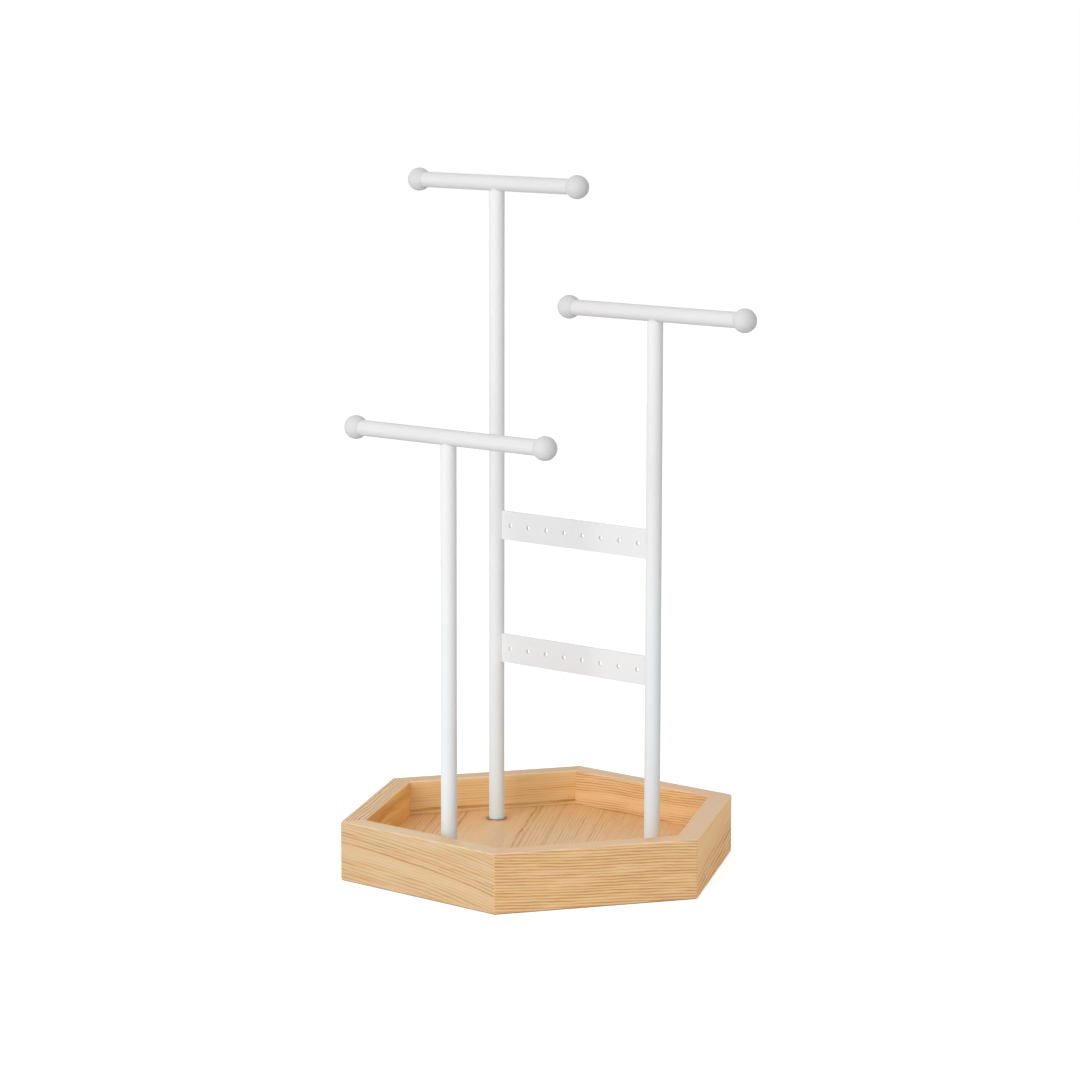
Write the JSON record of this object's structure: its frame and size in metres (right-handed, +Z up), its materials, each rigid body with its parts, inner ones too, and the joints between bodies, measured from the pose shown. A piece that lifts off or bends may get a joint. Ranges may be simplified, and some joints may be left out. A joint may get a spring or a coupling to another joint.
{
  "type": "jewellery stand with open tray",
  "caption": "Hexagonal pine tray carrying white T-shaped necklace hangers of stepped heights and drilled earring strips between the rear posts.",
  "frame": {"origin": "on the table under the middle of the hexagonal tray, which is within 1 mm of the bottom centre of the overall box", "axes": "+Z up, +X to the right along the crossbars and earring strips, +Y to the back, away from the single low post"},
  "size_m": [0.229, 0.18, 0.348],
  "materials": {
    "pine": "satin lacquered pine",
    "pine_floor": "satin lacquered pine board",
    "white_metal": "matt white powder coat",
    "zinc_steel": "zinc plated"
  },
  "bodies": {
    "root": {"front_wall": "pine", "front_right_wall": "pine", "back_right_wall": "pine", "back_wall": "pine", "back_left_wall": "pine", "front_left_wall": "pine", "tray_floor": "pine_floor", "tall_post": "white_metal", "tall_crossbar": "white_metal", "middle_post": "white_metal", "middle_crossbar": "white_metal", "low_post": "white_metal", "low_crossbar": "white_metal", "end_balls": "white_metal", "upper_earring_strip": "white_metal", "lower_earring_strip": "white_metal", "post_foot_rings": "zinc_steel", "fixing_washers": "zinc_steel", "fixing_screws": "zinc_steel"}
  },
  "joints": []
}
